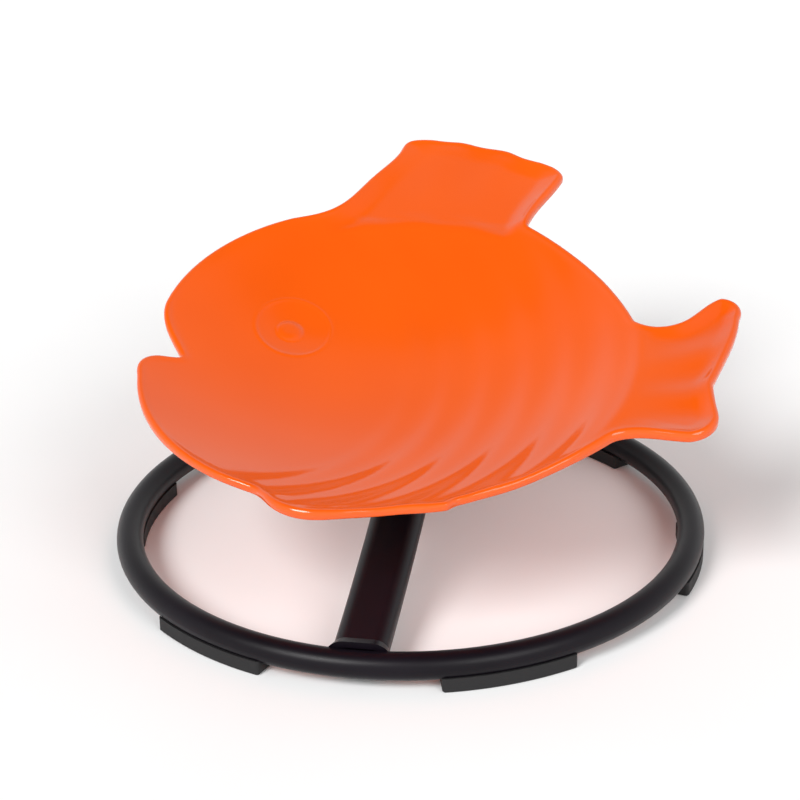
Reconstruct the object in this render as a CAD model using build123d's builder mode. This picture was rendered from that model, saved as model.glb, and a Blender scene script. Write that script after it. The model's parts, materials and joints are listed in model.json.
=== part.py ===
from build123d import *
import math
import os

# A child's spinning seat: a fish-shaped dish that turns on a tilted axle, over a round tube base.
# Millimetres. +Z is up, z = 0 is the floor, x = y = 0 is the centre of the base ring.
# The arch of the base lies along Y, and the dish leans down towards -Y, which is the front.

# Base ring
ring_radius = 265.0
tube_radius = 12.5
tube_wall = 1.5
foot_under_tube = 8.7
ring_height = foot_under_tube + tube_radius
seam_angle = 148.5
seam_arc = 0.3
seam_bead = 0.4

# Feet
foot_names = ["front_left", "front_right", "right", "rear_right", "rear_left", "left"]
first_foot_angle = -121.5
foot_pitch = 60.0
foot_arc = 26.0
foot_width = 24.4
foot_wall_height = 13.8
foot_tube_gap = 0.1
foot_corner = 3.0
foot_screw_offset = 8.5
foot_screw_radius = 2.0
foot_screw_head_radius = 4.0
foot_screw_head_height = 2.6
foot_screw_recess = 4.2
foot_screw_slot = 0.9
foot_chamfer = 1.2

# Arch: a flat-oval tube across the ring, with a straight platform that sets the tilt of the seat
tilt = 14.5
arch_width = 49.0
arch_depth = 25.0
arch_wall = 1.8
platform_y = 12.0
platform_z = 78.4
platform_half = 42.0
front_radius = 1950.0
rear_bend_radius = 110.0
arch_end_y = 258.5
rear_end_z = ring_height + 3.0
weld_reach = 5.0
weld_toe = 0.8
weld_length = 11.0

# Heights along the axle, counted from the flat top of the arch
post_radius = 24.0
post_top = 6.0
post_overlap = 10.0
bearing_bottom = 10.0
bearing_spacing = 28.0
washer_thickness = 2.5
nut_height = 13.0
nut_flats = 24.0
housing_bottom = 8.0
flange_bottom = 65.0
flange_thickness = 5.0
rim_height = 135.5

# Bearings, 20 x 47 x 14
bore_radius = 10.0
race_radius = 23.5
bearing_width = 14.0
ball_radius = 3.969
ball_count = 8
ball_pitch_radius = 16.75
groove_radius = 4.13
ball_play = 0.05
inner_land_radius = 14.2
outer_land_radius = 19.6
cage_half_thickness = 1.2
cage_half_width = 4.9
seal_thickness = 0.8
seal_inset = 0.5

# Housing and flange
housing_radius = 28.5
housing_lip_radius = 20.8
ring_groove_depth = 1.2
ring_groove_width = 1.75
flange_radius = 60.0
bolt_circle_radius = 48.0
bolt_count = 6
bolt_radius = 3.0
bolt_hole_radius = 3.3
bolt_head_flats = 10.0
bolt_head_height = 4.0
bolt_washer_radius = 6.0
bolt_washer_thickness = 1.2
insert_radius = 4.5
insert_length = 10.0

# Dish
body_centre = (-10.0, -10.0)
hollow_radius = 213.0
dish_depth = 54.0
dish_power = 2.2
dish_wall = 5.0
rim_thickness = 9.6
rim_width = 18.0
mouth_corner = (-203.0, -23.0)
mouth_margin = 8.0
pad_radius = 62.0
rib_count = 8
rib_thickness = 3.0
rib_drop = 8.0
rib_reach = 190.0

arch_top = arch_depth / 2
pad_height = flange_bottom + flange_thickness
race_top = bearing_bottom + bearing_spacing + bearing_width
sine = math.sin(math.radians(tilt))
cosine = math.cos(math.radians(tilt))
hub_origin = Vector(0, platform_y, platform_z) + Vector(0, -sine, cosine) * arch_top
spin_axis = Axis(hub_origin, (0, -sine, cosine))
hub_plane = Plane(origin=hub_origin, x_dir=(1, 0, 0), z_dir=(0, -sine, cosine))
hub_section = Plane(origin=hub_origin, x_dir=(1, 0, 0), z_dir=(0, -cosine, -sine))
rim_plane = hub_plane.offset(rim_height)
dish_axis = Axis(rim_plane.from_local_coords(Vector(*body_centre, 0)), rim_plane.z_dir)
dish_section = Plane(origin=dish_axis.position, x_dir=(1, 0, 0), z_dir=(0, -cosine, -sine))


def save(piece, name):
    """Labels a finished piece and writes its STEP."""
    piece.part.label = name
    export_step(piece.part, f"parts/{name}.step")


def turned(profile):
    """A piece turned about the spin axis from its half section, as (radius, height) corners."""
    with BuildPart() as piece:
        with BuildSketch(hub_section):
            with BuildLine():
                Polyline(*profile, close=True)
            make_face()
        revolve(axis=spin_axis)
    return piece


def sleeve(inner, outer, bottom, top):
    """A plain ring about the spin axis."""
    return turned([(inner, bottom), (outer, bottom), (outer, top), (inner, top)])


def torus(radius):
    """A solid torus on the base ring's centreline."""
    with BuildPart(Plane.XY.offset(ring_height)) as piece:
        Torus(ring_radius, radius)
    return piece


def foot_angles():
    """The middle of each foot, as an angle about Z."""
    return [first_foot_angle + number * foot_pitch for number in range(len(foot_names))]


def foot_screw_planes(height):
    """A horizontal plane at each foot screw's centre."""
    planes = []
    for middle in foot_angles():
        for side in (-1, 1):
            angle = math.radians(middle + side * foot_screw_offset)
            place = (ring_radius * math.cos(angle), ring_radius * math.sin(angle), height)
            planes.append(Plane(origin=place))
    return planes


def build_base_ring():
    """Round tube rolled into a ring, holed for the foot screws, and the butt weld that closes it."""
    with BuildPart() as ring:
        with BuildSketch(Plane.XZ.rotated((0, 0, seam_angle + seam_arc / 2))):
            with Locations((ring_radius, ring_height)):
                Circle(tube_radius)
                Circle(tube_radius - tube_wall, mode=Mode.SUBTRACT)
        revolve(axis=Axis.Z, revolution_arc=360 - seam_arc)
        for plane in foot_screw_planes(0):
            with BuildSketch(plane):
                Circle(foot_screw_radius)
            extrude(amount=ring_height, mode=Mode.SUBTRACT)
    save(ring, "base_ring")
    with BuildPart() as bead:
        with BuildSketch(Plane.XZ.rotated((0, 0, seam_angle - seam_arc / 2))):
            with Locations((ring_radius, ring_height)):
                Circle(tube_radius + seam_bead)
                Circle(tube_radius - tube_wall, mode=Mode.SUBTRACT)
        revolve(axis=Axis.Z, revolution_arc=seam_arc)
    save(bead, "ring_seam_weld")


def build_feet():
    """Moulded rubber shoes that cup the underside of the ring."""
    for name, middle in zip(foot_names, foot_angles()):
        start = middle - foot_arc / 2
        with BuildPart() as foot:
            with BuildSketch(Plane.XZ.rotated((0, 0, start))):
                with Locations((ring_radius, foot_wall_height / 2)):
                    Rectangle(foot_width, foot_wall_height)
            revolve(axis=Axis.Z, revolution_arc=foot_arc)
            corners = foot.edges().filter_by(Axis.Z)
            fillet(corners, foot_corner)
            bottom = foot.faces().sort_by(Axis.Z)[0]
            chamfer(bottom.edges(), foot_chamfer)
            with BuildSketch(Plane.XZ.rotated((0, 0, start - 2))):
                with Locations((ring_radius, ring_height)):
                    Circle(tube_radius + foot_tube_gap)
            revolve(axis=Axis.Z, revolution_arc=foot_arc + 4, mode=Mode.SUBTRACT)
            for plane in foot_screw_planes(0):
                with Locations(plane):
                    Cylinder(foot_screw_radius, ring_height, align=(Align.CENTER, Align.CENTER, Align.MIN),
                             mode=Mode.SUBTRACT)
                    Cylinder(foot_screw_head_radius + 0.3, foot_screw_recess,
                             align=(Align.CENTER, Align.CENTER, Align.MIN), mode=Mode.SUBTRACT)
        save(foot, f"{name}_foot")


def build_foot_screws():
    """Pan-head screws that hold the feet, driven up into the tube."""
    head_bottom = foot_screw_recess - foot_screw_head_height
    with BuildPart() as screws:
        for plane in foot_screw_planes(head_bottom):
            with Locations(plane):
                Cylinder(foot_screw_head_radius, foot_screw_head_height,
                         align=(Align.CENTER, Align.CENTER, Align.MIN))
        heads = screws.faces().sort_by(Axis.Z)[:len(foot_names) * 2]
        for plane in foot_screw_planes(foot_screw_recess):
            with Locations(plane):
                Cylinder(foot_screw_radius, ring_height - foot_screw_recess - 5,
                         align=(Align.CENTER, Align.CENTER, Align.MIN))
        fillet(heads.edges(), 0.8)
        for plane in foot_screw_planes(head_bottom):
            with Locations(plane):
                Box(foot_screw_head_radius, foot_screw_slot, foot_screw_head_height, mode=Mode.SUBTRACT)
                Box(foot_screw_slot, foot_screw_head_radius, foot_screw_head_height, mode=Mode.SUBTRACT)
    save(screws, "foot_screws")


def arch_path():
    """Centreline of the arch: a long gentle curve, the tilted platform, a bend and a straight rear leg."""
    front = Vector(0, platform_y - platform_half * cosine, platform_z - platform_half * sine)
    back = Vector(0, platform_y + platform_half * cosine, platform_z + platform_half * sine)
    sweep_back = math.degrees(math.asin(sine - (arch_end_y + front.Y) / front_radius))
    rear_end = Vector(0, arch_end_y, rear_end_z)
    reach = rear_end.Y - back.Y
    drop = back.Z - rear_end.Z
    # The straight rear leg is tangent to the bend; its slope follows by iteration.
    slope = math.atan2(drop, reach)
    for _ in range(30):
        turn = slope + math.radians(tilt)
        bend_reach = rear_bend_radius * (sine + math.sin(slope))
        bend_rise = rear_bend_radius * (math.cos(slope) - cosine)
        slope = math.atan2(drop + bend_rise, reach - bend_reach)
    with BuildLine(Plane.YZ) as path:
        JernArc((front.Y, front.Z), (-cosine, -sine), front_radius, -(tilt - sweep_back))
        platform = Line((front.Y, front.Z), (back.Y, back.Z))
        bend = JernArc(platform @ 1, platform % 1, rear_bend_radius, -math.degrees(turn))
        Line(bend @ 1, (rear_end.Y, rear_end.Z))
    return path


def oval_sweep(path, margin):
    """The arch's flat-oval section, grown by a margin, swept along its centreline."""
    wire = path.wire()
    start = Plane(origin=wire @ 0, x_dir=(1, 0, 0), z_dir=wire % 0)
    with BuildPart() as tube:
        with BuildSketch(start):
            SlotOverall(arch_width + 2 * margin, arch_depth + 2 * margin)
        sweep(path=wire)
    return tube


def build_arch(path):
    """Flat-oval tube bent into an arch, its ends coped to the ring."""
    outer = oval_sweep(path, 0)
    inner = oval_sweep(path, -arch_wall)
    ring = torus(tube_radius)
    with BuildPart() as arch:
        add(outer.part)
        add(inner.part, mode=Mode.SUBTRACT)
        add(ring.part, mode=Mode.SUBTRACT)
    save(arch, "arch")
    return outer


def build_arch_welds(path, arch_outer):
    """Fillet welds around the two ends of the arch."""
    wire = path.wire()
    ring = torus(tube_radius)
    ends = {"front": (wire @ 0, wire % 0), "rear": (wire @ 1, -(wire % 1))}
    if ends["front"][0].Y > 0:
        ends = {"front": ends["rear"], "rear": ends["front"]}
    for name, (place, inward) in ends.items():
        with BuildPart() as weld:
            with BuildSketch(Plane(origin=place, x_dir=(1, 0, 0), z_dir=inward)):
                SlotOverall(arch_width + 2 * weld_reach, arch_depth + 2 * weld_reach)
            extrude(amount=weld_length, taper=math.degrees(math.atan2(weld_reach - weld_toe, weld_length)))
            add(arch_outer.part, mode=Mode.SUBTRACT)
            add(ring.part, mode=Mode.SUBTRACT)
        save(weld, f"{name}_arch_weld")


def build_hub_post(arch_outer):
    """Turned post, coped over the top of the arch, that the axle is pressed into, and its weld."""
    with BuildPart() as post:
        with BuildSketch(hub_plane.offset(-post_overlap)):
            Circle(post_radius)
        extrude(amount=post_overlap + post_top)
        chamfer(post.edges().filter_by(GeomType.CIRCLE).sort_by(spin_axis)[-1], 1.0)
        add(arch_outer.part, mode=Mode.SUBTRACT)
        with BuildSketch(hub_plane):
            Circle(bore_radius)
        extrude(amount=post_top, mode=Mode.SUBTRACT)
    save(post, "hub_post")
    with BuildPart() as weld:
        with BuildSketch(hub_plane.offset(-post_overlap)):
            Circle(post_radius + 3.5)
        extrude(amount=post_overlap + 3.5, taper=14)
        add(arch_outer.part, mode=Mode.SUBTRACT)
        with BuildSketch(hub_plane.offset(-post_overlap)):
            Circle(post_radius)
        extrude(amount=post_overlap + post_top, mode=Mode.SUBTRACT)
    save(weld, "hub_post_weld")


def build_axle():
    """Axle with a threaded end, and the plain rings, washer and lock nut that clamp the inner races."""
    nut_bottom = race_top + washer_thickness
    thread_radius = 8.0
    axle = turned([(0, 0), (bore_radius, 0), (bore_radius, race_top - 0.5), (thread_radius, race_top - 0.5),
                   (thread_radius, nut_bottom + nut_height + 0.5), (thread_radius - 1, nut_bottom + nut_height + 1.5),
                   (0, nut_bottom + nut_height + 1.5)])
    save(axle, "axle")
    spacer_radius = 13.0
    save(sleeve(bore_radius, spacer_radius, post_top, bearing_bottom), "shoulder_ring")
    save(sleeve(bore_radius, spacer_radius, bearing_bottom + bearing_width, bearing_bottom + bearing_spacing),
         "bearing_spacer")
    save(sleeve(thread_radius + 0.2, 14.0, race_top, nut_bottom), "axle_washer")
    with BuildPart() as nut:
        with BuildSketch(hub_plane.offset(nut_bottom)):
            RegularPolygon(nut_flats / 2, 6, major_radius=False)
            Circle(thread_radius, mode=Mode.SUBTRACT)
        extrude(amount=nut_height)
        with BuildSketch(hub_section):
            with BuildLine():
                Polyline((thread_radius, nut_bottom), (13.0, nut_bottom), (14.5, nut_bottom + 1.2),
                         (14.5, nut_bottom + nut_height - 3.5), (11.4, nut_bottom + nut_height - 2.6),
                         (10.6, nut_bottom + nut_height), (thread_radius, nut_bottom + nut_height), close=True)
            make_face()
        revolve(axis=spin_axis, mode=Mode.INTERSECT)
    save(nut, "axle_nut")


def build_bearing(name, bottom):
    """One deep groove ball bearing: two races, balls, a cage and two seals."""
    middle = bottom + bearing_width / 2
    top = bottom + bearing_width
    reach = ball_radius + ball_play - groove_radius
    races = {"inner": (bore_radius, inner_land_radius, ball_pitch_radius - reach),
             "outer": (outer_land_radius, race_radius, ball_pitch_radius + reach)}
    for side, (near, far, groove_centre) in races.items():
        with BuildPart() as race:
            with BuildSketch(hub_section):
                with Locations(((near + far) / 2, middle)):
                    Rectangle(far - near, bearing_width)
                with Locations((groove_centre, middle)):
                    Circle(groove_radius, mode=Mode.SUBTRACT)
            revolve(axis=spin_axis)
        save(race, f"{name}_bearing_{side}_race")
    with BuildPart(hub_plane.offset(middle)) as balls:
        with PolarLocations(ball_pitch_radius, ball_count):
            Sphere(ball_radius)
    save(balls, f"{name}_bearing_balls")
    with BuildPart(hub_plane.offset(middle)) as cage:
        Cylinder(ball_pitch_radius + cage_half_thickness, 2 * cage_half_width)
        Cylinder(ball_pitch_radius - cage_half_thickness, 2 * cage_half_width, mode=Mode.SUBTRACT)
        with PolarLocations(ball_pitch_radius, ball_count):
            Cylinder(ball_radius + 0.15, 4 * cage_half_thickness, rotation=(0, 90, 0), mode=Mode.SUBTRACT)
    save(cage, f"{name}_bearing_cage")
    with BuildPart() as seals:
        for low in (bottom + seal_inset, top - seal_inset - seal_thickness):
            with BuildSketch(hub_plane.offset(low)):
                Circle(outer_land_radius)
                Circle(inner_land_radius + 0.3, mode=Mode.SUBTRACT)
            extrude(amount=seal_thickness)
    save(seals, f"{name}_bearing_seals")


def build_housing():
    """Bearing housing, its snap ring, dust seal, welded flange and weld."""
    groove_top = race_top + ring_groove_width
    groove_radius_out = race_radius + ring_groove_depth
    housing = turned([(housing_lip_radius, housing_bottom), (housing_radius - 1, housing_bottom),
                      (housing_radius, housing_bottom + 1), (housing_radius, flange_bottom),
                      (race_radius, flange_bottom), (race_radius, groove_top), (groove_radius_out, groove_top),
                      (groove_radius_out, race_top), (race_radius, race_top), (race_radius, bearing_bottom),
                      (housing_lip_radius, bearing_bottom)])
    save(housing, "bearing_housing")
    with BuildPart() as snap_ring:
        with BuildSketch(hub_plane.offset(race_top)):
            Circle(groove_radius_out)
            Circle(race_radius - 2.2, mode=Mode.SUBTRACT)
            with Locations((0, race_radius)):
                Rectangle(11, 12, mode=Mode.SUBTRACT)
            with Locations((-9.0, race_radius - 3.9), (9.0, race_radius - 3.9)):
                Circle(2.6)
                Circle(1.0, mode=Mode.SUBTRACT)
        extrude(amount=ring_groove_width)
    save(snap_ring, "snap_ring")
    save(turned([(13.4, bearing_bottom - 2.6), (15.0, bearing_bottom - 1.0), (15.0, bearing_bottom - 0.2),
                 (housing_lip_radius, bearing_bottom - 0.2), (housing_lip_radius, bearing_bottom - 3.0),
                 (16.0, bearing_bottom - 3.0)]), "dust_seal")
    with BuildPart() as flange:
        with BuildSketch(hub_plane.offset(flange_bottom)):
            Circle(flange_radius)
            Circle(race_radius, mode=Mode.SUBTRACT)
            with PolarLocations(bolt_circle_radius, bolt_count):
                Circle(bolt_hole_radius, mode=Mode.SUBTRACT)
        extrude(amount=flange_thickness)
        rims = flange.edges().filter_by(GeomType.CIRCLE).filter_by(lambda edge: edge.radius > flange_radius - 1)
        fillet(rims, 1.0)
    save(flange, "mounting_flange")
    save(turned([(housing_radius, flange_bottom), (housing_radius + 4, flange_bottom),
                 (housing_radius, flange_bottom - 4)]), "housing_weld")


def build_seat_fasteners():
    """Brass inserts moulded into the seat, with the screws and washers that hold it on the flange."""
    flange_top = flange_bottom + flange_thickness
    with BuildPart() as inserts:
        with BuildSketch(hub_plane.offset(flange_top)):
            with PolarLocations(bolt_circle_radius, bolt_count):
                Circle(insert_radius)
                Circle(bolt_radius, mode=Mode.SUBTRACT)
        extrude(amount=insert_length)
    save(inserts, "seat_inserts")
    with BuildPart() as washers:
        with BuildSketch(hub_plane.offset(flange_bottom - bolt_washer_thickness)):
            with PolarLocations(bolt_circle_radius, bolt_count):
                Circle(bolt_washer_radius)
                Circle(bolt_hole_radius, mode=Mode.SUBTRACT)
        extrude(amount=bolt_washer_thickness)
    save(washers, "seat_washers")
    head_top = flange_bottom - bolt_washer_thickness
    with BuildPart() as screws:
        with BuildSketch(hub_plane.offset(head_top - bolt_head_height)):
            with PolarLocations(bolt_circle_radius, bolt_count):
                RegularPolygon(bolt_head_flats / 2, 6, major_radius=False)
        extrude(amount=bolt_head_height)
        chamfer(screws.faces().sort_by(spin_axis)[:bolt_count].edges(), 0.5)
        with BuildSketch(hub_plane.offset(head_top)):
            with PolarLocations(bolt_circle_radius, bolt_count):
                Circle(bolt_radius)
        extrude(amount=flange_top + insert_length - 0.5 - head_top)
    save(screws, "seat_screws")


def fish_outline():
    """The fish seen along the spin axis: mouth to the left, tail to the right, on the rim plane."""
    dorsal_notch = (90, 191)
    neck_top = (206, 50)
    upper_lobe = (281, 88)
    lobe_corner = (300, 62)
    tail_notch = (283, -36)
    lobe_end = (290, -74)
    lower_lobe = (268, -111)
    neck_bottom = (203, -117)
    fin_step = (80, -206)
    fin_back = (74, -216)
    fin_front = (-98, -206)
    lower_lip = (-231, -72)
    upper_lip = (-231, 44)
    nape = (-138, 183)
    fin_top = (-26, 329)
    first_wave = (8, 326)
    second_wave = (54, 314)
    third_wave = (94, 295)
    fin_tip = (115, 275)
    with BuildSketch(rim_plane) as outline:
        with BuildLine():
            ThreePointArc(dorsal_notch, (166, 119), neck_top)
            Spline(neck_top, (229, 41), (250, 51), (266, 72), upper_lobe)
            ThreePointArc(upper_lobe, (295, 83), lobe_corner)
            Spline(lobe_corner, (298, 32), (290, -6), tail_notch)
            Spline(tail_notch, (286, -55), lobe_end)
            ThreePointArc(lobe_end, (286, -99), lower_lobe)
            Spline(lower_lobe, (246, -110), (222, -110), neck_bottom)
            ThreePointArc(neck_bottom, (151, -166), fin_step)
            Line(fin_step, fin_back)
            Spline(fin_back, (14, -228), (-48, -241), (-79, -225), fin_front,
                   tangents=[(-1, -0.15), (-0.95, 0.3)])
            ThreePointArc(fin_front, (-183, -160), lower_lip)
            Spline(lower_lip, (-234, -50), (-226, -36), mouth_corner, tangents=[(-0.3, 1), (1, 0.6)])
            Spline(mouth_corner, (-228, 18), upper_lip, tangents=[(-0.5, 0.8), (0.15, 1)])
            ThreePointArc(upper_lip, (-199, 129), nape)
            Spline(nape, (-102, 203), (-74, 258), (-53, 308), fin_top, tangents=[(1, 0.4), (1, 0)])
            Spline(fin_top, (-10, 327), first_wave, tangents=[(1, 0), (1, -0.2)])
            Spline(first_wave, (29, 319), second_wave, tangents=[(1, -0.2), (1, -0.35)])
            Spline(second_wave, (73, 303), third_wave, tangents=[(1, -0.35), (1, -0.5)])
            Spline(third_wave, (108, 286), fin_tip, tangents=[(1, -0.5), (0.35, -1)])
            Spline(fin_tip, (108, 252), (96, 220), dorsal_notch)
        make_face()
    return outline


def bowl(radius, edge, floor):
    """A solid bowl about the body's centre, from its floor to just over the rim plane.

    Its wall rises from the floor to the edge height as a power of the radius.
    """
    steps = 8
    wall = []
    for number in range(steps + 1):
        share = number / steps
        wall.append((radius * share, -floor + (floor - edge) * share ** dish_power))
    with BuildPart() as solid:
        with BuildSketch(dish_section):
            with BuildLine():
                Spline(*wall, tangents=[(1, 0), (radius, dish_power * (floor - edge))])
                Polyline((radius, -edge), (radius, 1), (0, 1), (0, -floor))
            make_face()
        revolve(axis=dish_axis)
    return solid


def build_seat():
    """Moulded dish: a bowl whose rim runs out into the fins, tail and lips, ribbed underneath."""
    outline = fish_outline()
    under = dish_depth + dish_wall
    outside = bowl(hollow_radius + rim_width, rim_thickness, under)
    rib_envelope = bowl(hollow_radius + rim_width, rim_thickness + rib_drop, under + rib_drop)
    inside = bowl(hollow_radius, 0, dish_depth)
    with BuildPart() as cavity:
        add(inside.part)
        with BuildSketch(rim_plane):
            with BuildLine():
                Polyline((-250, mouth_corner[1] - 34), (mouth_corner[0] + mouth_margin, mouth_corner[1]),
                         (-250, mouth_corner[1] + 80), close=True)
            make_face()
        extrude(amount=-dish_depth, mode=Mode.SUBTRACT)
    with BuildPart() as ribs:
        with BuildSketch(hub_plane.offset(pad_height)):
            with PolarLocations(rib_reach / 2, rib_count, start_angle=180 / rib_count):
                Rectangle(rib_reach, rib_thickness)
        extrude(amount=rim_height - pad_height)
        add(rib_envelope.part, mode=Mode.INTERSECT)
    with BuildPart() as seat:
        add(outline.sketch)
        extrude(amount=-under)
        add(outside.part, mode=Mode.INTERSECT)
        add(outline.sketch)
        extrude(amount=-rim_thickness)
        add(ribs.part)
        with BuildSketch(hub_plane.offset(pad_height)):
            Circle(pad_radius)
        extrude(amount=rim_height - pad_height - dish_depth + dish_wall)
        add(cavity.part, mode=Mode.SUBTRACT)
        with BuildSketch(hub_plane.offset(pad_height)):
            with PolarLocations(bolt_circle_radius, bolt_count):
                Circle(insert_radius)
        extrude(amount=insert_length, mode=Mode.SUBTRACT)
    save(seat, "seat")


os.makedirs("parts", exist_ok=True)
centreline = arch_path()
build_base_ring()
build_feet()
build_foot_screws()
arch_solid = build_arch(centreline)
build_arch_welds(centreline, arch_solid)
build_hub_post(arch_solid)
build_axle()
build_bearing("lower", bearing_bottom)
build_bearing("upper", bearing_bottom + bearing_spacing)
build_housing()
build_seat_fasteners()
build_seat()
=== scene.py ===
import json
import math

import bmesh
import bpy
import numpy as np
from mathutils import Matrix, Vector
from mathutils.geometry import delaunay_2d_cdt


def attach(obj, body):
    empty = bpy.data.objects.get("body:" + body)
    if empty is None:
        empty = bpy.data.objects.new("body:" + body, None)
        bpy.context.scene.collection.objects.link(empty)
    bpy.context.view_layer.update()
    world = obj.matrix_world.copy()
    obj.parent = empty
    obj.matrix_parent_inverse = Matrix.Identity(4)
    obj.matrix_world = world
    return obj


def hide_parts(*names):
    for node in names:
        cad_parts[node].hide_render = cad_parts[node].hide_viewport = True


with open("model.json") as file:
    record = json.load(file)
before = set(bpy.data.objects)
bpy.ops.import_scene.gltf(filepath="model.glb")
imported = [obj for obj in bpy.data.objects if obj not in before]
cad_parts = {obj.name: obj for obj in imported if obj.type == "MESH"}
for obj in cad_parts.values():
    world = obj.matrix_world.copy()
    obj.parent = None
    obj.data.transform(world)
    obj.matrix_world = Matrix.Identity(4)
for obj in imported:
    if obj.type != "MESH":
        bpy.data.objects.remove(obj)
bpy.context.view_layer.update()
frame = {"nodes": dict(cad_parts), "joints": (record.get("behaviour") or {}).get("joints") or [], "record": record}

MM = 0.001

# The spin axis of the dish, from the frame
spin = next(joint for joint in frame["joints"] if joint["name"] == "seat_spin")
spin_origin = Vector(spin["pos_m"])
spin_normal = Vector(spin["axis"]).normalized()
along_x = Vector((1, 0, 0))
up_slope = spin_normal.cross(along_x)

# Heights above the spin joint along that axis, in millimetres, the same as in the CAD
rim_height = 135.5
pad_height = 70.0

# Dish, in millimetres on the rim plane: u to the tail, v up the slope, heights along the spin axis
body_centre = np.array((-10.0, -10.0))
body_radius = 226.0
dish_depth = 54.0
wall = 5.0
lip_radius = 4.0
lip_height = 8.7

# Mesh steps
outline_fine_step = 1.0
outline_smoothing = 1.8
outline_step = 2.2
grid_step = 3.2
under_grid_step = 4.6
grid_margin = 10.0
ring_step = 1.4
eye_mesh_radius = 42
eye_mesh_clear = 43
eye_point_step = 1.8
inner_lip_depths = [5.2, 6.6, 8.6]
under_lip_depths = (0.2, 0.75, 1.5, 3.5, 5.0, 6.5, 8.0)
rib_line_offsets = (-2.6, -2.0, -1.5, 0, 1.5, 2.0, 2.6)
rib_line_step = 2.5
rib_clear = 3.5
pad_clear = 4


def dish_matrix():
    """From (u, v, height over the rim plane) in millimetres to the frame in metres."""
    origin = spin_origin + spin_normal * rim_height * MM
    columns = Matrix((along_x * MM, up_slope * MM, spin_normal * MM)).transposed().to_4x4()
    return Matrix.Translation(origin) @ columns


def smoothstep(low, high, x):
    t = np.clip((x - low) / (high - low), 0.0, 1.0)
    return t * t * (3 - 2 * t)


# ---------------------------------------------------------------- outline

def cad_outline():
    """The fish's outline as the CAD seat has it: the longest loop of edges on the rim plane."""
    mesh = bmesh.new()
    mesh.from_mesh(frame["nodes"]["seat"].data)
    bmesh.ops.remove_doubles(mesh, verts=mesh.verts, dist=0.01 * MM)
    to_dish = dish_matrix().inverted()
    flat = []
    for face in mesh.faces:
        heights = [(to_dish @ vert.co).z for vert in face.verts]
        if max(abs(height) for height in heights) < 0.05:
            flat.append(face)
    flat_set = set(flat)
    follow = {}
    for face in flat:
        for loop in face.loops:
            if sum(other in flat_set for other in loop.edge.link_faces) == 1:
                follow[loop.vert] = loop.link_loop_next.vert
    loops = []
    while follow:
        start = next(iter(follow))
        chain = [start]
        vert = follow.pop(start)
        while vert != start and vert in follow:
            chain.append(vert)
            vert = follow.pop(vert)
        points = np.array([(to_dish @ v.co)[:2] for v in chain])
        loops.append(points)
    mesh.free()
    return max(loops, key=lambda points: np.ptp(points[:, 0]))


def resample(points, step):
    """A closed polyline at even steps."""
    closed = np.vstack([points, points[:1]])
    length = np.concatenate([[0], np.cumsum(np.linalg.norm(np.diff(closed, axis=0), axis=1))])
    count = int(round(length[-1] / step))
    at = np.linspace(0, length[-1], count, endpoint=False)
    return np.column_stack([np.interp(at, length, closed[:, i]) for i in (0, 1)])


def smooth_loop(points, width):
    """A closed polyline rounded with a bell of that many steps."""
    reach = int(3 * width) + 1
    weights = np.exp(-0.5 * (np.arange(-reach, reach + 1) / width) ** 2)
    weights /= weights.sum()
    return sum(weight * np.roll(points, shift, axis=0)
               for weight, shift in zip(weights, range(-reach, reach + 1)))


def distance_to(points, loop):
    """How far each point is from the closed polyline."""
    start, end = loop, np.roll(loop, -1, axis=0)
    span = end - start
    square = (span ** 2).sum(1)
    best = np.full(len(points), 1e9)
    for block in range(0, len(points), 2000):
        p = points[block:block + 2000, None, :]
        t = np.clip(((p - start) * span).sum(2) / square, 0, 1)
        near = start + span * t[..., None]
        best[block:block + 2000] = np.sqrt(((p - near) ** 2).sum(2)).min(1)
    return best


def inside(points, loop):
    """Which points are inside the closed polyline."""
    x, y = points[:, 0], points[:, 1]
    within = np.zeros(len(points), bool)
    for (x0, y0), (x1, y1) in zip(loop, np.roll(loop, -1, axis=0)):
        crosses = (y0 > y) != (y1 > y)
        if crosses.any():
            within[crosses] ^= x[crosses] < (x1 - x0) * (y[crosses] - y0) / (y1 - y0) + x0
    return within


# ---------------------------------------------------------------- relief of the dish

# All in millimetres on the rim plane, like the dish itself; angles in radians
dish_power = 2.2
knee = 1.2
bowl_fade = (0.93, 1.0)
outside_fade = (1.0, 1.05)

eye_centre = np.array((-116.0, 57.0))
eye_radius = 35.0
eye_recess = 2.6
eye_rim_height = 0.5
eye_rim_width = 1.5
pupil_centre = np.array((-119.0, 54.0))
pupil_radius = 13.0
pupil_dome = 3.0

scale_centre = np.array((-203.0, -10.0))
scale_first = 207.0
scale_pitch = 37.4
scale_height = 1.25
scale_sharpness = 1.2
scale_fade = 0.55
scale_fade_span = (-20, 110)

tail_apex = np.array((45.0, -110.0))
flute_crest = math.radians(3.1)
flute_pitch = math.radians(12.5)
flute_depth = 1.3
flute_start = (205, 222)
flute_deepens = (205, 275)
flute_edge = (0, 16)
tail_tray_depth = 3.2
tail_tray_start = (215, 262)
tail_tray_edge = (2, 20)

fin_left = (-150, -95)
fin_right = (85, 120)
fin_root = (140, 190)
fin_scoop = 10.5
fin_scoop_top = 322.0
fin_scoop_length = 120.0
fin_scoop_edge = (0, 26)
fin_flute_pitch = 52.0
fin_flute_depth = 0.6
fin_flute_shift = 2
fin_flute_start = (225, 300)
fin_flute_edge = (0, 18)
fin_fan = 0.0012
fin_fan_level = 217

tray_depth = 1.0
tray_edge = (4, 22)

bead_height = 0.8
bead_inset = 4.5
bead_width = 2.6
skirt_edge = (5, 8)
lower_corner = 1.5

pad_radius = 62.0
pad_flank = 1.5
rib_count = 8
rib_reach = 190.0
rib_half = 1.5
rib_flank = 0.5
rib_end = 6
rib_drop = 8.0


def radius_from(points, centre):
    return np.hypot(points[:, 0] - centre[0], points[:, 1] - centre[1])


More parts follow.
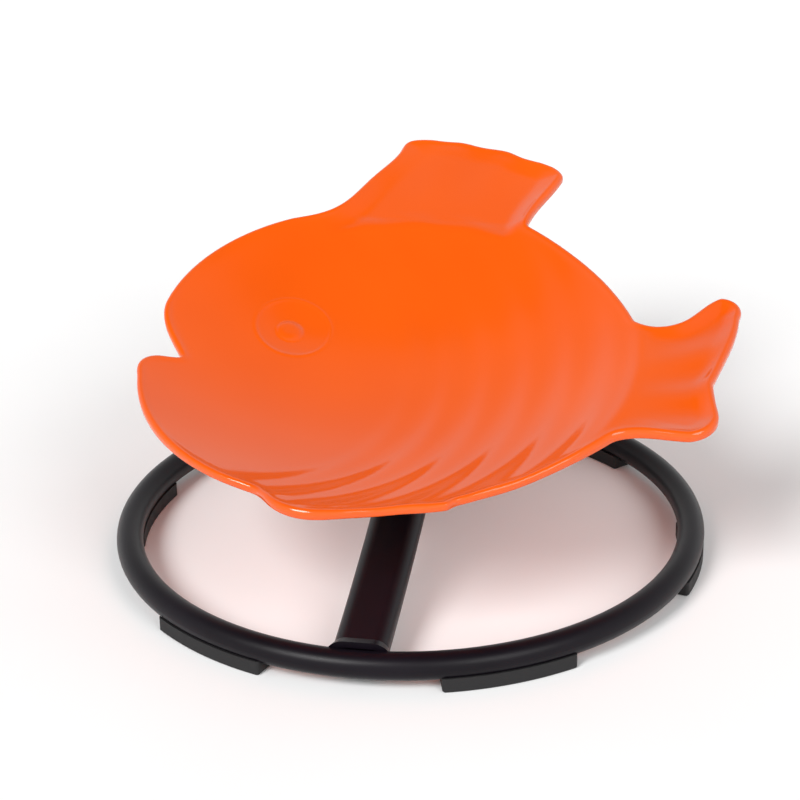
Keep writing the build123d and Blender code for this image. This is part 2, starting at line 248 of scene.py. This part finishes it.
def relief(points, edge):
    """Height of the dish's upper face, from (u, v) and the distance to the outline, without its lip."""
    u, v = points[:, 0], points[:, 1]
    share = radius_from(points, body_centre) / body_radius

    # The bowl, which runs on into the dorsal fin's long shallow scoop
    in_fin = smoothstep(*fin_left, u) * (1 - smoothstep(*fin_right, u)) * smoothstep(*fin_root, v)
    scoop = fin_scoop * np.clip((fin_scoop_top - v) / fin_scoop_length, 0, 1)
    ledge = -scoop * in_fin * smoothstep(*fin_scoop_edge, edge)
    wall_drop = dish_depth * (1 - share ** dish_power)
    bowl = ledge - knee * np.logaddexp(0, (ledge + wall_drop) / knee)
    in_bowl = 1 - smoothstep(*bowl_fade, share)
    out_of_bowl = smoothstep(*outside_fade, share)

    # Fish scales: round waves about a point behind the mouth, from mid body to the tail
    rho = radius_from(points, scale_centre)
    wave = 0.5 + 0.5 * np.cos(2 * np.pi * (rho - scale_first) / scale_pitch)
    start = smoothstep(scale_first - scale_pitch, scale_first + scale_pitch, rho)
    fade = 1 - scale_fade * smoothstep(*scale_fade_span, v)
    scales = scale_height * (wave ** scale_sharpness) * start * fade * in_bowl

    # Eye: a shallow round recess with a fine rim and a raised pupil
    eye = radius_from(points, eye_centre)
    pupil = radius_from(points, pupil_centre)
    recess = -eye_recess * np.clip(1 - (eye / eye_radius) ** 2, 0, 1)
    rim = eye_rim_height * np.exp(-((eye - eye_radius) / eye_rim_width) ** 2)
    dome = pupil_dome * np.clip(1 - (pupil / pupil_radius) ** 4, 0, 1)

    # Tail: flutes that fan out from the body, in a tray with a raised end
    angle = np.arctan2(v - tail_apex[1], u - tail_apex[0])
    depth = flute_depth * smoothstep(*flute_deepens, u) * smoothstep(*flute_edge, edge)
    flutes = depth * (np.cos(2 * np.pi * (angle - flute_crest) / flute_pitch) - 1)
    end_lip = -tail_tray_depth * smoothstep(*tail_tray_edge, edge) * smoothstep(*tail_tray_start, u)
    tail = flutes * smoothstep(*flute_start, u) + end_lip

    # Dorsal fin: faint flutes; the other fins are shallow trays
    fan = u / (1 + fin_fan * (v - fin_fan_level))
    fin_wave = fin_flute_depth * (np.cos(2 * np.pi * (fan + fin_flute_shift) / fin_flute_pitch) - 1)
    fin = fin_wave * smoothstep(*fin_flute_start, v) * smoothstep(*fin_flute_edge, edge)
    tray = -tray_depth * smoothstep(*tray_edge, edge) * out_of_bowl * (1 - in_fin)
    return -bead_height + bowl + scales + recess + rim + dome + tail + fin + tray


def upper_height(points, edge):
    """Relief with the rounded lip: a low bead, then a quarter round down to the side."""
    round_down = np.clip(lip_radius - edge, 0, lip_radius)
    drop = lip_radius - np.sqrt(lip_radius ** 2 - round_down ** 2)
    bead = bead_height * np.exp(-((edge - bead_inset) / bead_width) ** 2)
    return relief(points, edge) + bead - drop


def lower_height(points, edge):
    """Underside: the wall's lower face, the skirt of the lip, the mounting pad and the radial ribs."""
    skirt = (lip_height - wall) * (1 - smoothstep(*skirt_edge, edge))
    within_corner = np.clip(lower_corner - edge, 0, lower_corner)
    rounded = lower_corner - np.sqrt(lower_corner ** 2 - within_corner ** 2)
    shell = relief(points, edge) - wall - skirt + rounded
    radius = np.hypot(points[:, 0], points[:, 1])
    pad_level = pad_height - rim_height
    pad = pad_level + (shell - pad_level) * smoothstep(pad_radius, pad_radius + pad_flank, radius)
    pitch = 2 * np.pi / rib_count
    angle = np.arctan2(points[:, 1], points[:, 0])
    aside = np.abs((angle % pitch) - pitch / 2)
    across = radius * np.sin(np.minimum(aside, np.pi / 2))
    web = np.maximum(shell - rib_drop, pad_level)
    cover = 1 - smoothstep(rib_half, rib_half + rib_flank, across)
    cover = cover * (1 - smoothstep(rib_reach - rib_end, rib_reach, radius))
    ribs = shell + (web - shell) * cover
    return np.minimum(pad, ribs)


# ---------------------------------------------------------------- dish mesh

def offsets(loop, depths):
    """Points at each depth inside the outline, without those that another stretch of outline is nearer to."""
    before, after = np.roll(loop, 1, axis=0), np.roll(loop, -1, axis=0)
    tangent = after - before
    tangent /= np.linalg.norm(tangent, axis=1)[:, None]
    area = 0.5 * np.sum(loop[:, 0] * after[:, 1] - after[:, 0] * loop[:, 1])
    inward = np.column_stack([-tangent[:, 1], tangent[:, 0]]) * np.sign(area)
    rows = []
    for depth in depths:
        row = loop + inward * depth
        rows.append(row[distance_to(row, loop) > depth * 0.94])
    return np.vstack(rows)


def grid_inside(loop, step, margin):
    low, high = loop.min(0), loop.max(0)
    rows = int((high[1] - low[1]) / (step * 0.866)) + 1
    points = []
    for row in range(rows):
        shift = step / 2 * (row % 2)
        xs = np.arange(low[0] + shift, high[0], step)
        points.append(np.column_stack([xs, np.full(len(xs), low[1] + row * step * 0.866)]))
    points = np.vstack(points)
    points = points[inside(points, loop)]
    return points[distance_to(points, loop) > margin]


def rings(centre, radii, step):
    """Points on circles, evenly spaced."""
    rows = []
    for radius in radii:
        count = max(6, int(round(2 * np.pi * radius / step)))
        turn = np.linspace(0, 2 * np.pi, count, endpoint=False)
        rows.append(centre + radius * np.column_stack([np.cos(turn), np.sin(turn)]))
    return np.vstack(rows)


def triangulate(loop, points):
    """Triangles over the outline and the points inside it; the outline keeps the first numbers."""
    count = len(loop)
    everything = [Vector(p) for p in np.vstack([loop, points])]
    edges = [(i, (i + 1) % count) for i in range(count)]
    verts, _, faces, _, _, _ = delaunay_2d_cdt(everything, edges, [], 1, 1e-4)
    return np.array([tuple(v) for v in verts]), [tuple(f) for f in faces]


def build_dish():
    """The moulded fish dish: upper face, rounded lip and ribbed underside, as one closed mesh."""
    loop = smooth_loop(resample(cad_outline(), outline_fine_step), outline_smoothing)
    loop = resample(loop, outline_step)
    lip_turns = np.radians([15, 30, 45, 60, 75, 90])
    lip_depths = list(lip_radius * (1 - np.cos(lip_turns))) + inner_lip_depths

    eye_rings = rings(eye_centre, np.arange(ring_step, eye_mesh_radius, ring_step), eye_point_step)
    upper = grid_inside(loop, grid_step, grid_margin)
    upper = upper[radius_from(upper, eye_centre) > eye_mesh_clear]
    upper_flat, upper_faces = triangulate(loop, np.vstack([offsets(loop, lip_depths), upper, eye_rings]))

    lower = grid_inside(loop, under_grid_step, grid_margin)
    radius = np.hypot(lower[:, 0], lower[:, 1])
    lower = lower[np.abs(radius - pad_radius) > pad_clear]
    pitch = 2 * np.pi / rib_count
    angle = np.arctan2(lower[:, 1], lower[:, 0])
    across = np.hypot(lower[:, 0], lower[:, 1]) * np.abs(np.sin((angle % pitch) - pitch / 2))
    lower = lower[across > rib_clear]
    along = np.arange(pad_radius + 3, rib_reach + 8, rib_line_step)
    lines = []
    for number in range(rib_count):
        turn = pitch * (number + 0.5)
        direction = np.array((math.cos(turn), math.sin(turn)))
        side = np.array((-direction[1], direction[0]))
        for offset in rib_line_offsets:
            lines.append(along[:, None] * direction + offset * side)
    pad_radii = (pad_radius - 2, pad_radius, pad_radius + pad_flank / 2, pad_radius + pad_flank)
    pad_rings = rings(np.zeros(2), pad_radii, rib_line_step)
    under = np.vstack([offsets(loop, under_lip_depths), lower, *lines, pad_rings])
    lower_flat, lower_faces = triangulate(loop, under)

    count = len(loop)
    upper_z = upper_height(upper_flat, distance_to(upper_flat, loop))
    lower_z = lower_height(lower_flat, distance_to(lower_flat, loop))
    shift = len(upper_flat)
    verts = [(*p, z) for p, z in zip(upper_flat, upper_z)]
    verts += [(*p, z) for p, z in zip(lower_flat, lower_z)]
    faces = list(upper_faces)
    faces += [tuple(i + shift for i in reversed(face)) for face in lower_faces]
    for i in range(count):
        j = (i + 1) % count
        faces.append((i, i + shift, j + shift, j))

    mesh = bpy.data.meshes.new("fish_dish")
    mesh.from_pydata(verts, [], faces)
    mesh.transform(dish_matrix())
    shape = bmesh.new()
    shape.from_mesh(mesh)
    bmesh.ops.recalc_face_normals(shape, faces=shape.faces)
    shape.to_mesh(mesh)
    shape.free()
    mesh.polygons.foreach_set("use_smooth", [True] * len(mesh.polygons))
    dish = bpy.data.objects.new("fish_dish", mesh)
    bpy.context.scene.collection.objects.link(dish)
    return dish


# ---------------------------------------------------------------- materials

class Shader:
    """A small helper that lays out one Principled material."""

    def __init__(self, name):
        self.material = bpy.data.materials.new(name)
        self.material.use_nodes = True
        self.nodes = self.material.node_tree.nodes
        self.links = self.material.node_tree.links
        self.surface = self.nodes["Principled BSDF"]
        self.place = self.nodes.new("ShaderNodeTexCoord")

    def noise(self, scale, detail=4.0, roughness=0.55, distortion=0.0):
        node = self.nodes.new("ShaderNodeTexNoise")
        node.inputs["Scale"].default_value = scale
        node.inputs["Detail"].default_value = detail
        node.inputs["Roughness"].default_value = roughness
        node.inputs["Distortion"].default_value = distortion
        self.links.new(self.place.outputs["Object"], node.inputs["Vector"])
        return node.outputs["Fac"]

    def ramp(self, value, low, high, start, end):
        """A colour that runs from start to end as the value runs from low to high."""
        node = self.nodes.new("ShaderNodeValToRGB")
        node.color_ramp.elements[0].position = low
        node.color_ramp.elements[1].position = high
        node.color_ramp.elements[0].color = (*start, 1)
        node.color_ramp.elements[1].color = (*end, 1)
        self.links.new(value, node.inputs["Fac"])
        return node.outputs["Color"]

    def span(self, value, low, high, start, end):
        """A number that runs from start to end as the value runs from low to high."""
        node = self.nodes.new("ShaderNodeMapRange")
        for name, number in (("From Min", low), ("From Max", high), ("To Min", start), ("To Max", end)):
            node.inputs[name].default_value = number
        self.links.new(value, node.inputs["Value"])
        return node.outputs["Result"]

    def bump(self, value, distance, strength=1.0, under=None):
        node = self.nodes.new("ShaderNodeBump")
        node.inputs["Strength"].default_value = strength
        node.inputs["Distance"].default_value = distance
        self.links.new(value, node.inputs["Height"])
        if under is not None:
            self.links.new(under, node.inputs["Normal"])
        return node.outputs["Normal"]

    def join(self, value, socket):
        self.links.new(value, self.surface.inputs[socket])

    def set(self, **numbers):
        for name, number in numbers.items():
            self.surface.inputs[name.replace("_", " ")].default_value = number


def orange_plastic():
    """Glossy moulded plastic, with a slow drift of colour and the faint ripple of a moulded surface."""
    shader = Shader("orange_plastic")
    broad = shader.noise(5.0, 2.0)
    fine = shader.noise(160.0, 3.0)
    shader.join(shader.ramp(broad, 0.3, 0.7, (0.735, 0.088, 0.0032), (0.785, 0.100, 0.0044)), "Base Color")
    shader.join(shader.span(fine, 0.3, 0.7, 0.085, 0.13), "Roughness")
    ripple = shader.bump(shader.noise(38.0, 2.0, 0.5, 0.3), 0.00004)
    shader.join(shader.bump(fine, 0.000008, 1.0, ripple), "Normal")
    shader.set(IOR=1.49, Specular_IOR_Level=0.5)
    return shader.material


def black_paint():
    """Fine textured black powder coat."""
    shader = Shader("black_paint")
    grain = shader.noise(1500.0, 3.0, 0.6)
    drift = shader.noise(14.0, 3.0)
    shade = shader.ramp(drift, 0.3, 0.7, (0.0032, 0.0020, 0.0040), (0.0056, 0.0036, 0.0068))
    shader.join(shade, "Base Color")
    shader.join(shader.span(grain, 0.3, 0.7, 0.28, 0.46), "Roughness")
    shader.join(shader.bump(grain, 0.00006, 0.8), "Normal")
    shader.set(IOR=1.5, Specular_IOR_Level=0.19)
    return shader.material


def black_rubber():
    """Matte moulded rubber, a little dusty."""
    shader = Shader("black_rubber")
    dust = shader.noise(60.0, 5.0, 0.65)
    grain = shader.noise(900.0, 2.0)
    shader.join(shader.ramp(dust, 0.35, 0.75, (0.005, 0.0046, 0.0052), (0.011, 0.010, 0.011)), "Base Color")
    shader.join(shader.span(dust, 0.3, 0.7, 0.62, 0.8), "Roughness")
    shader.join(shader.bump(grain, 0.00005, 0.7), "Normal")
    return shader.material


def metal(name, dark, light, smooth, rough, scale):
    """Bare or plated metal with fine machining variation."""
    shader = Shader(name)
    streaks = shader.noise(scale, 4.0, 0.6, 0.2)
    shader.join(shader.ramp(streaks, 0.3, 0.7, dark, light), "Base Color")
    shader.join(shader.span(streaks, 0.3, 0.7, smooth, rough), "Roughness")
    shader.join(shader.bump(streaks, 0.00001, 0.6), "Normal")
    shader.set(Metallic=1.0)
    return shader.material


# Each metal's darker and lighter colour, lowest and highest roughness, and grain
metals = {
    "bearing_steel": ((0.50, 0.50, 0.50), (0.62, 0.62, 0.61), 0.16, 0.30, 420.0),
    "zinc_plated_steel": ((0.55, 0.56, 0.56), (0.70, 0.70, 0.68), 0.24, 0.40, 240.0),
    "brass_insert": ((0.60, 0.40, 0.15), (0.74, 0.53, 0.24), 0.22, 0.38, 300.0),
}
finishes = {
    "orange_plastic": orange_plastic(),
    "black_paint": black_paint(),
    "black_rubber": black_rubber(),
}
for metal_name, look in metals.items():
    finishes[metal_name] = metal(metal_name, *look)


# ---------------------------------------------------------------- pieces

def finish_cad_nodes():
    """Each CAD node that stays visible takes its slot's finish."""
    for subpart in frame["record"]["subparts"]:
        node = frame["nodes"][subpart["node"]]
        for slot in node.material_slots:
            slot.material = finishes[subpart["material_slot"]]
        if not node.material_slots:
            node.data.materials.append(finishes[subpart["material_slot"]])


finish_cad_nodes()
dish = build_dish()
dish.data.materials.append(finishes["orange_plastic"])
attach(dish, "seat")
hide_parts("seat")


# ---------------------------------------------------------------- floor, light and camera

def build_floor():
    """A pale floor that runs to the horizon."""
    mesh = bpy.data.meshes.new("studio_floor")
    half = 14.0
    corners = [(-half, -half, 0), (half, -half, 0), (half, half, 0), (-half, half, 0)]
    mesh.from_pydata(corners, [], [(0, 1, 2, 3)])
    floor = bpy.data.objects.new("studio_floor", mesh)
    bpy.context.scene.collection.objects.link(floor)
    shader = Shader("studio_floor")
    drift = shader.noise(1.5, 2.0)
    shader.join(shader.ramp(drift, 0.3, 0.7, (0.90, 0.90, 0.90), (0.94, 0.94, 0.94)), "Base Color")
    shader.set(Roughness=0.9, Specular_IOR_Level=0.1)
    mesh.materials.append(shader.material)


def build_sky():
    """A white backdrop near the horizon that falls off to a dim ceiling, and sooner on the left."""
    world = bpy.data.worlds.new("studio")
    bpy.context.scene.world = world
    world.use_nodes = True
    nodes, links = world.node_tree.nodes, world.node_tree.links
    background = nodes["Background"]
    place = nodes.new("ShaderNodeTexCoord")
    split = nodes.new("ShaderNodeSeparateXYZ")
    ramp = nodes.new("ShaderNodeValToRGB")
    leftward = nodes.new("ShaderNodeMapRange")
    for name, number in (("From Min", 0.0), ("From Max", -0.7), ("To Min", 0.0), ("To Max", 0.12)):
        leftward.inputs[name].default_value = number
    total = nodes.new("ShaderNodeMath")
    total.operation = "ADD"
    links.new(place.outputs["Generated"], split.inputs["Vector"])
    links.new(split.outputs["X"], leftward.inputs["Value"])
    links.new(split.outputs["Z"], total.inputs[0])
    links.new(leftward.outputs["Result"], total.inputs[1])
    links.new(total.outputs["Value"], ramp.inputs["Fac"])
    links.new(ramp.outputs["Color"], background.inputs["Color"])
    stops = [(0.0, 1.0), (0.50, 0.74), (0.62, 0.70), (0.71, 0.55), (0.77, 0.45), (0.82, 0.36), (0.87, 0.31),
             (0.91, 0.22), (0.94, 0.08), (0.97, 0.03), (1.0, 0.02)]
    ramp.color_ramp.elements[0].position = stops[0][0]
    ramp.color_ramp.elements[1].position = stops[-1][0]
    for position, _ in stops[1:-1]:
        ramp.color_ramp.elements.new(position)
    for element, (_, level) in zip(ramp.color_ramp.elements, stops):
        element.color = (level, level, level, 1)
    background.inputs["Strength"].default_value = 1.0


def sun_light(name, towards, spread, strength):
    """Even, soft light from one direction, over the object and the whole floor."""
    light = bpy.data.lights.new(name, "SUN")
    light.angle = math.radians(spread)
    light.energy = strength
    lamp = bpy.data.objects.new(name, light)
    lamp.rotation_euler = Vector(towards).to_track_quat("Z", "Y").to_euler()
    bpy.context.scene.collection.objects.link(lamp)


def build_camera():
    """The picture's view: from the front, a little to the right and 25 degrees above the horizon."""
    data = bpy.data.cameras.new("camera")
    data.sensor_width = 36.0
    data.lens = 111.41
    data.clip_end = 100.0
    camera = bpy.data.objects.new("camera", data)
    forward = Vector((-0.16544, 0.89259, -0.4194)).normalized()
    level = forward.cross(Vector((0, 0, 1))).normalized()
    above = level.cross(forward)
    roll = math.radians(-1.049)
    right = level * math.cos(roll) + above * math.sin(roll)
    upward = above * math.cos(roll) - level * math.sin(roll)
    turn = Matrix((right, upward, -forward)).transposed()
    camera.matrix_world = Matrix.Translation((0.3727, -2.0524, 1.1125)) @ turn.to_4x4()
    bpy.context.scene.collection.objects.link(camera)
    bpy.context.scene.camera = camera


build_floor()
build_sky()
sun_light("key", (-1.3, -2.4, 2.3), 24, 2.3)
sun_light("fill", (1.9, -1.9, 1.9), 30, 1.0)
build_camera()
bpy.context.scene.view_settings.view_transform = "Standard"
